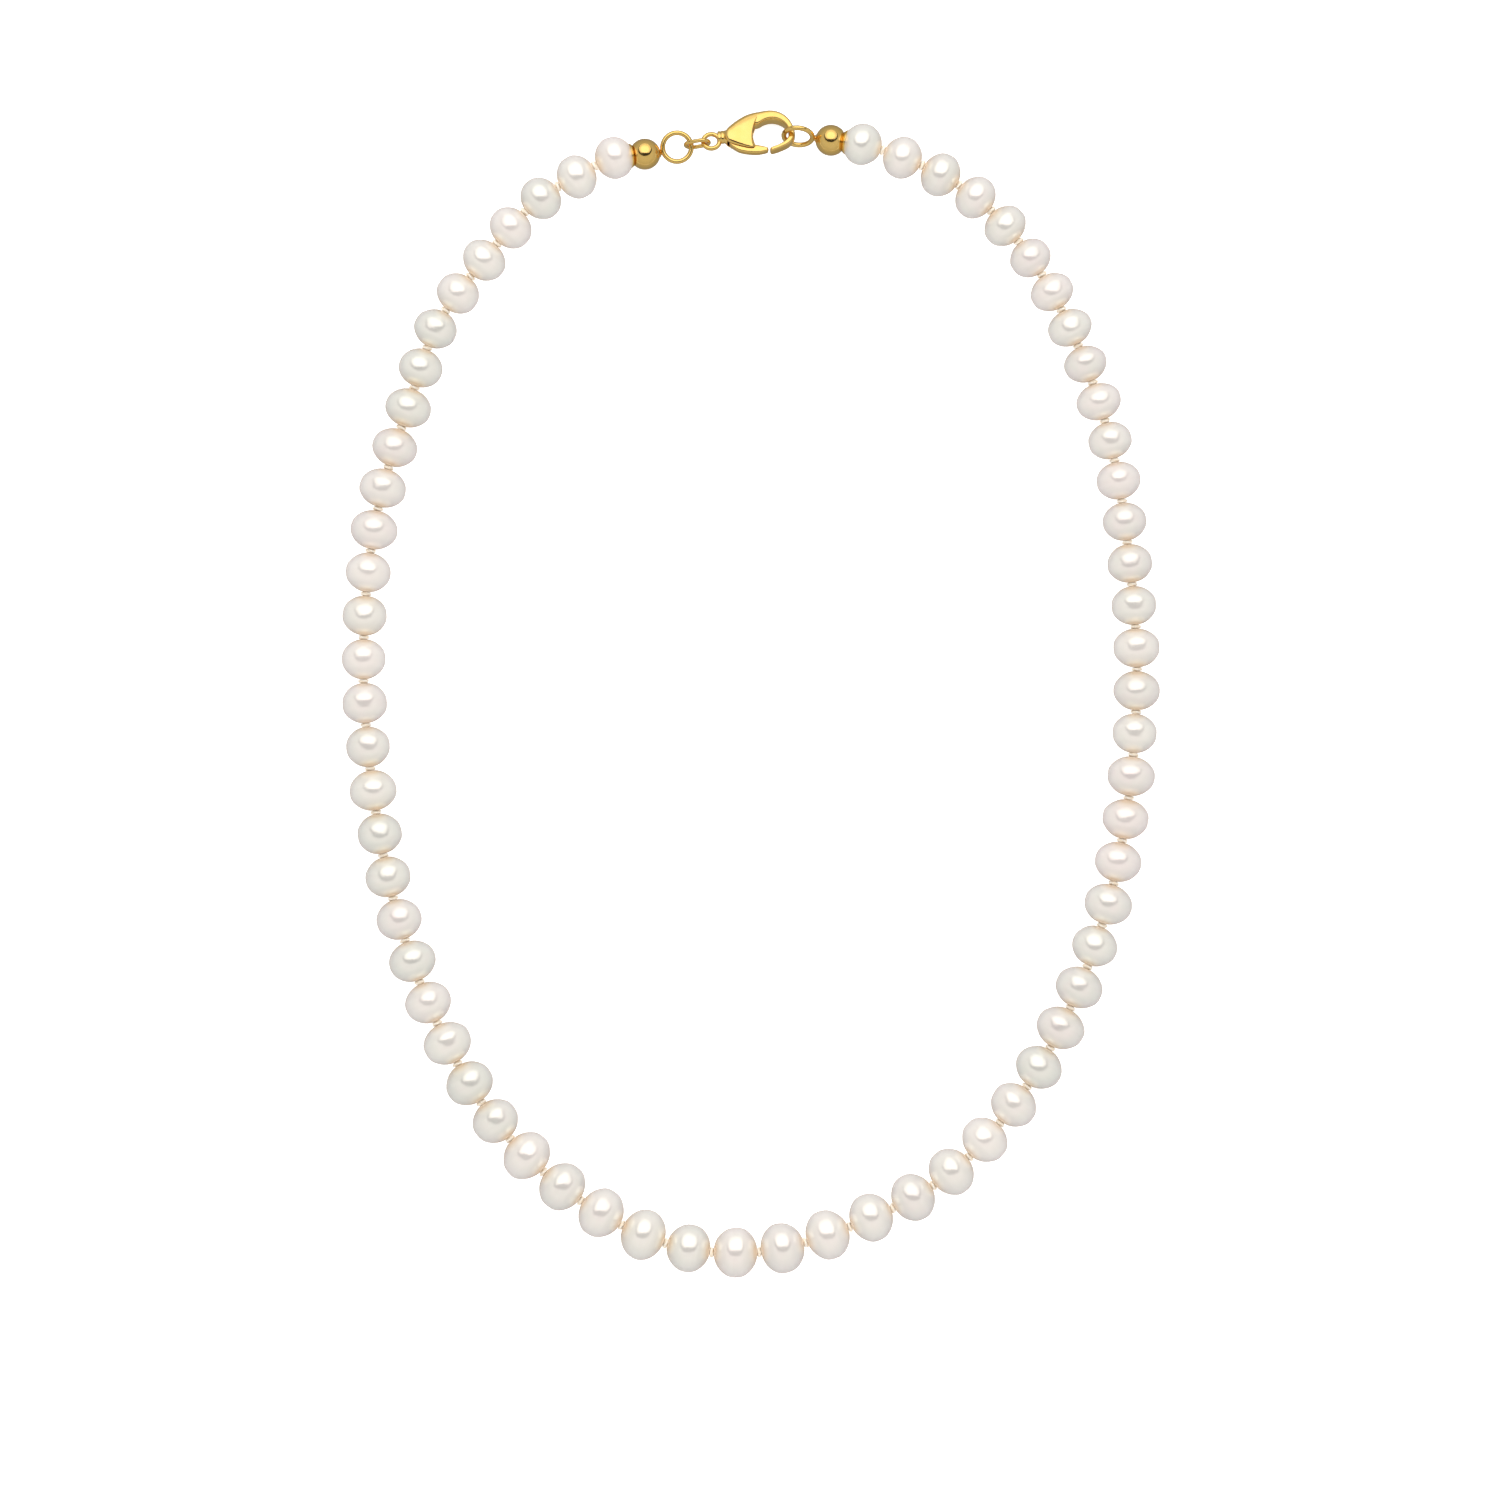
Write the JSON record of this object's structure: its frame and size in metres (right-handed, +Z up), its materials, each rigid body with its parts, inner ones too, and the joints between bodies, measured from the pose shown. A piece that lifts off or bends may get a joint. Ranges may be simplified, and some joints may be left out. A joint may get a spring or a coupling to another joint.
{
  "type": "pearl necklace",
  "caption": "Single strand of graded freshwater pearls knotted on silk, closed by a yellow gold lobster clasp hooked into an end ring.",
  "frame": {"origin": "under the middle of the necklace's box, on the surface it lies on", "axes": "+Z up, away from the surface the necklace lies on; +Y towards the clasp; +X to the right seen from above, towards the ball that the hook closes on"},
  "size_m": [0.1208, 0.1726, 0.0074],
  "materials": {
    "pearl": "gloss",
    "silk": "matte",
    "polished_gold": "polished",
    "spring_steel": "satin"
  },
  "bodies": {
    "strand_bottom": {"pearls_30_31": "pearl", "pearl_32": "pearl", "pearls_33_34": "pearl"},
    "strand_01": {"pearls_28_29": "pearl", "pearls_35_36": "pearl"},
    "strand_02": {"pearls_26_27": "pearl", "pearls_37_38": "pearl"},
    "strand_03": {"pearls_24_25": "pearl", "pearls_39_40": "pearl"},
    "strand_04": {"pearls_22_23": "pearl", "pearls_41_42": "pearl"},
    "strand_05": {"pearls_20_21": "pearl", "pearls_43_44": "pearl"},
    "strand_06": {"pearls_18_19": "pearl", "pearls_45_46": "pearl"},
    "strand_07": {"pearls_16_17": "pearl", "pearls_47_48": "pearl"},
    "strand_08": {"pearls_14_15": "pearl", "pearls_49_50": "pearl"},
    "strand_09": {"pearls_12_13": "pearl", "pearls_51_52": "pearl"},
    "strand_10": {"pearls_10_11": "pearl", "pearls_53_54": "pearl"},
    "strand_11": {"pearls_08_09": "pearl", "pearls_55_56": "pearl"},
    "strand_12": {"pearls_06_07": "pearl", "pearls_57_58": "pearl"},
    "strand_13": {"pearls_04_05": "pearl", "pearls_59_60": "pearl"},
    "strand_14": {"pearls_02_03": "pearl", "pearls_61_62": "pearl"},
    "clasp_end": {"pearl_01": "pearl", "left_end_cup": "polished_gold", "left_end_ball": "polished_gold", "left_silk_end": "silk", "left_end_ring": "polished_gold", "right_end_ring": "polished_gold", "right_silk_end": "silk", "right_end_ball": "polished_gold", "right_end_cup": "polished_gold", "pearl_65": "pearl", "pearls_63_64": "pearl"},
    "link": {"connector_link": "polished_gold"},
    "clasp": {"clasp_body": "polished_gold", "gate_rivet": "polished_gold", "gate_spring": "spring_steel"},
    "gate": {"gate_lever": "polished_gold"}
  },
  "joints": [
    {"name": "fold_01", "type": "hinge", "parent": "strand_bottom", "child": "strand_01", "pos_m": [-0.01903, -0.07863, 0.00374], "axis": [0.9999, -0.0101, -0.0032], "range_deg": [0, 20]},
    {"name": "fold_02", "type": "hinge", "parent": "strand_01", "child": "strand_02", "pos_m": [-0.03054, -0.07082, 0.00371], "axis": [0.9994, -0.0348, -0.0019], "range_deg": [0, 20]},
    {"name": "fold_03", "type": "hinge", "parent": "strand_02", "child": "strand_03", "pos_m": [-0.03973, -0.06063, 0.00354], "axis": [0.9992, -0.0393, -0.0002], "range_deg": [0, 20]},
    {"name": "fold_04", "type": "hinge", "parent": "strand_03", "child": "strand_04", "pos_m": [-0.04633, -0.04894, 0.00353], "axis": [0.9992, -0.04, 0.0005], "range_deg": [0, 20]},
    {"name": "fold_05", "type": "hinge", "parent": "strand_04", "child": "strand_05", "pos_m": [-0.0511, -0.0367, 0.00346], "axis": [0.9992, -0.0387, 0.0001], "range_deg": [0, 20]},
    {"name": "fold_06", "type": "hinge", "parent": "strand_05", "child": "strand_06", "pos_m": [-0.05433, -0.02413, 0.00336], "axis": [0.9993, -0.0379, 0.0015], "range_deg": [0, 20]},
    {"name": "fold_07", "type": "hinge", "parent": "strand_06", "child": "strand_07", "pos_m": [-0.05631, -0.0113, 0.00339], "axis": [0.9993, -0.0383, 0.0009], "range_deg": [0, 20]},
    {"name": "fold_08", "type": "hinge", "parent": "strand_07", "child": "strand_08", "pos_m": [-0.05726, 0.00165, 0.0033], "axis": [0.9992, -0.0399, 0.0006], "range_deg": [0, 20]},
    {"name": "fold_09", "type": "hinge", "parent": "strand_08", "child": "strand_09", "pos_m": [-0.0569, 0.01455, 0.00335], "axis": [0.9991, -0.0426, 0.0004], "range_deg": [0, 20]},
    {"name": "fold_10", "type": "hinge", "parent": "strand_09", "child": "strand_10", "pos_m": [-0.05512, 0.02713, 0.0035], "axis": [0.999, -0.0448, -0.0018], "range_deg": [0, 20]},
    {"name": "fold_11", "type": "hinge", "parent": "strand_10", "child": "strand_11", "pos_m": [-0.05172, 0.03916, 0.00339], "axis": [0.9989, -0.0461, -0.0012], "range_deg": [0, 20]},
    {"name": "fold_12", "type": "hinge", "parent": "strand_11", "child": "strand_12", "pos_m": [-0.04778, 0.05091, 0.00323], "axis": [0.9987, -0.0519, 0.0005], "range_deg": [0, 20]},
    {"name": "fold_13", "type": "hinge", "parent": "strand_12", "child": "strand_13", "pos_m": [-0.04143, 0.06149, 0.00331], "axis": [0.9984, -0.0559, -0.0004], "range_deg": [0, 20]},
    {"name": "fold_14", "type": "hinge", "parent": "strand_13", "child": "strand_14", "pos_m": [-0.03334, 0.07092, 0.00324], "axis": [0.9983, -0.0583, -0.0002], "range_deg": [0, 20]},
    {"name": "fold_15", "type": "hinge", "parent": "strand_14", "child": "clasp_end", "pos_m": [-0.023, 0.07772, 0.00321], "axis": [0.9986, -0.0524, 0.0019], "range_deg": [0, 20]},
    {"name": "link_roll", "type": "hinge", "parent": "clasp_end", "child": "link", "pos_m": [-0.00886, 0.08109, 0.00235], "axis": [0.9465, 0.1521, 0.2845], "range_deg": [-10, 25]},
    {"name": "clasp_roll", "type": "hinge", "parent": "clasp_end", "child": "clasp", "pos_m": [-0.00705, 0.08138, 0.00289], "axis": [0.9966, 0.0794, -0.0225], "range_deg": [-5, 15]},
    {"name": "gate_pivot", "type": "hinge", "parent": "clasp", "child": "gate", "pos_m": [-0.00271, 0.08134, 0.003], "axis": [0, 0.4067, 0.9135], "range_deg": [0, 18], "stiffness_Nm_per_rad": 0.004, "springref_deg": -5.73, "deforming": ["gate_spring"]}
  ]
}
